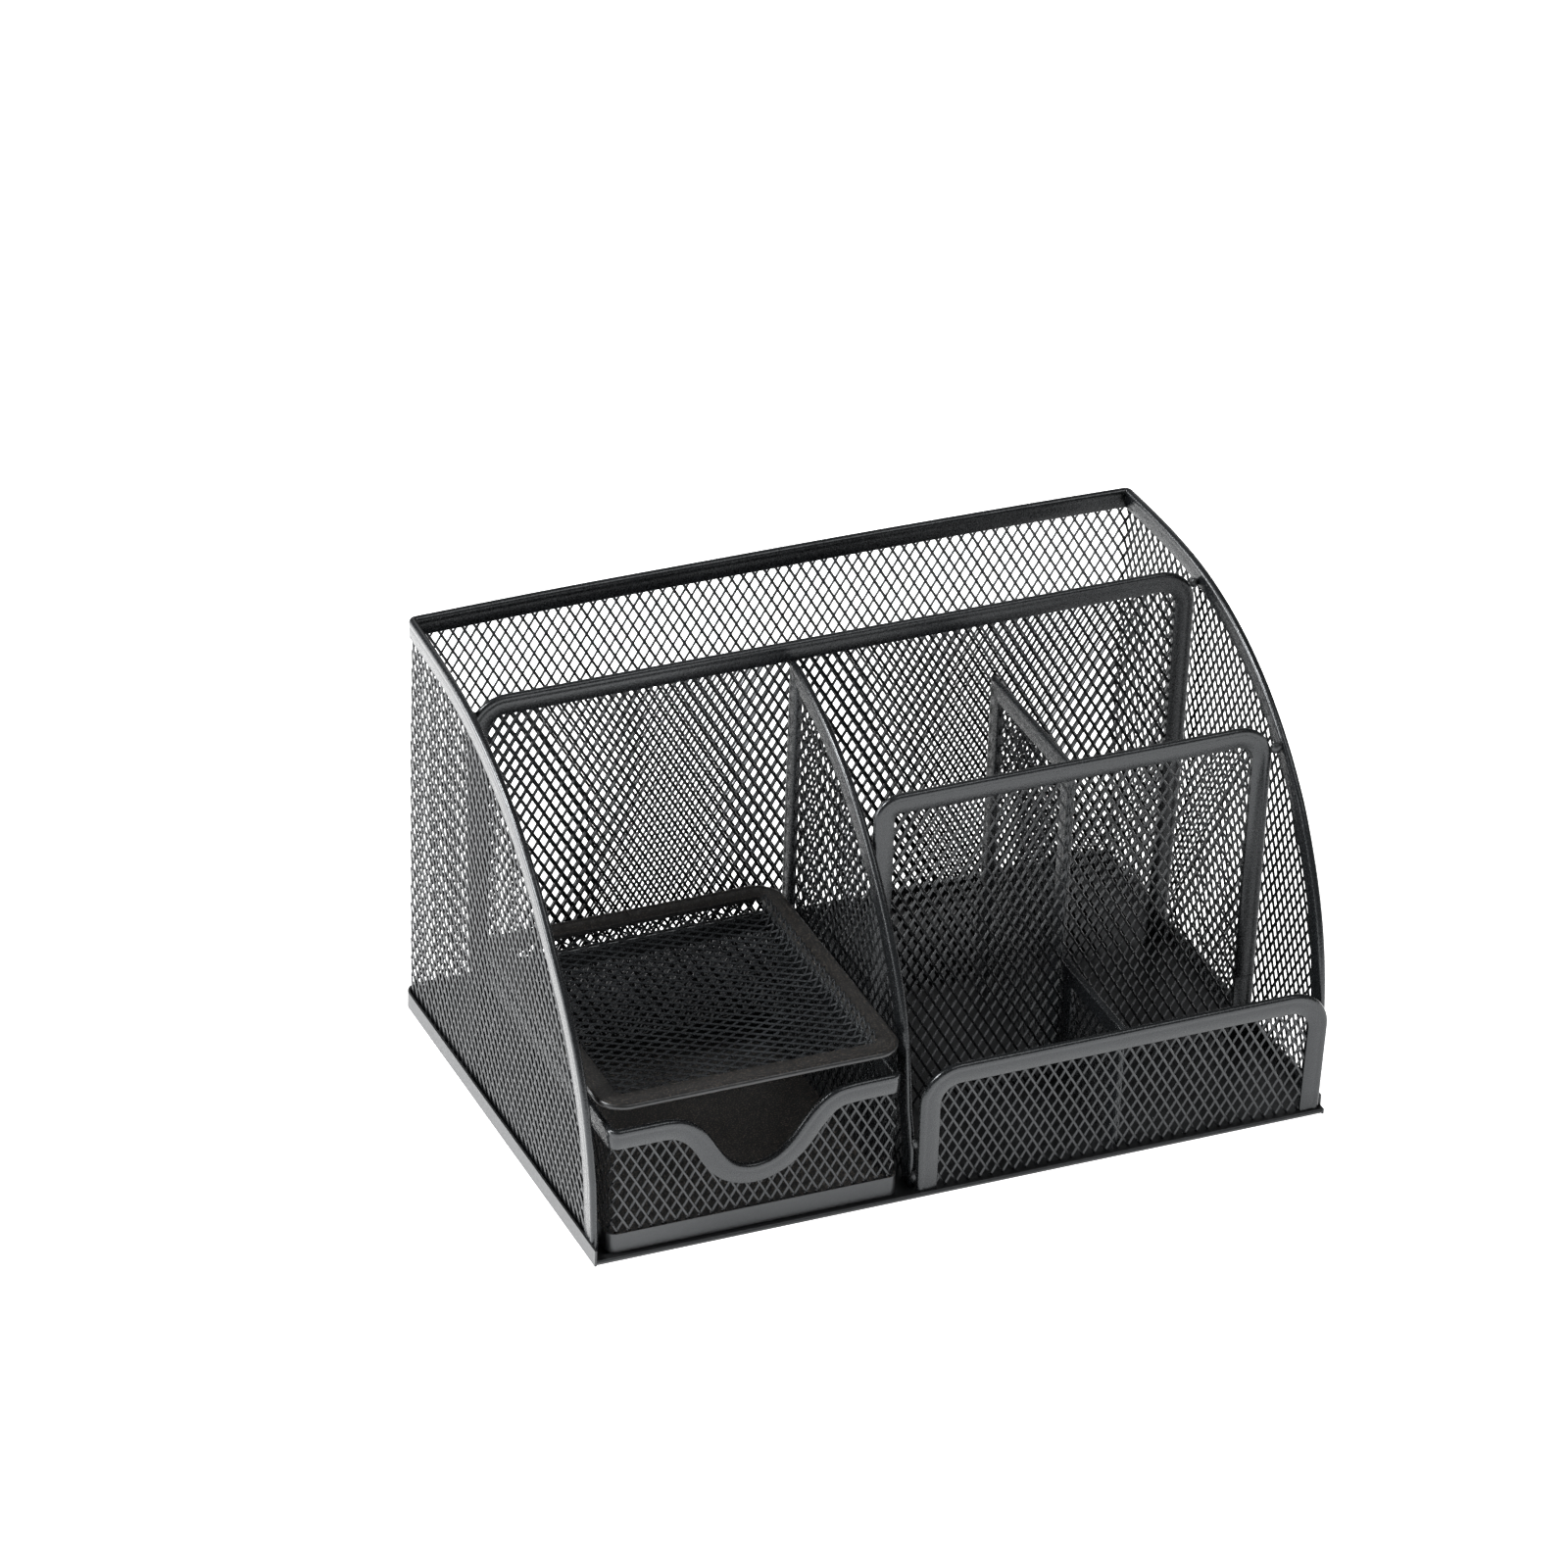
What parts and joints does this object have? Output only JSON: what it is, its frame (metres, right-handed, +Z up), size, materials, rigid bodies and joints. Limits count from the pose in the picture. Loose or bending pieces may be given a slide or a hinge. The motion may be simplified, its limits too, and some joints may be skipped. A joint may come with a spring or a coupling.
{
  "type": "desk organizer",
  "caption": "Black expanded-metal desk organizer with tall letter bay, divided pen bays, a low front panel, a shallow tray and a sliding drawer with a wavy finger notch.",
  "frame": {"origin": "centre of the bounding box at the underside of the base", "axes": "+X to the right along the width, +Y to the back, +Z up; the drawer and the open front face -Y"},
  "size_m": [0.2212, 0.1456, 0.1265],
  "materials": {
    "mesh": "semi-gloss black powder coat on expanded steel mesh",
    "rim": "semi-gloss black powder coat on folded steel strip",
    "sheet": "satin black powder coat on pressed steel sheet",
    "weld": "black powder coat over a weld bead"
  },
  "bodies": {
    "case": {"wall_mesh": "mesh", "wall_rim": "rim", "base_pan": "sheet", "mid_partition_mesh": "mesh", "mid_partition_rim": "rim", "centre_divider_mesh": "mesh", "centre_divider_rim": "rim", "second_partition_mesh": "mesh", "second_partition_rim": "rim", "rear_small_divider_mesh": "mesh", "rear_small_divider_rim": "rim", "front_small_divider_mesh": "mesh", "front_small_divider_rim": "rim", "front_panel_mesh": "mesh", "front_panel_rim": "rim", "tray_mesh": "mesh", "tray_flange": "rim", "weld_beads": "weld"},
    "drawer": {"drawer_pan": "sheet", "drawer_mesh": "mesh", "drawer_rim": "rim"}
  },
  "joints": [
    {"name": "drawer_slide", "type": "slide", "parent": "case", "child": "drawer", "axis": [0, -1, 0], "range_m": [0, 0.078]}
  ]
}
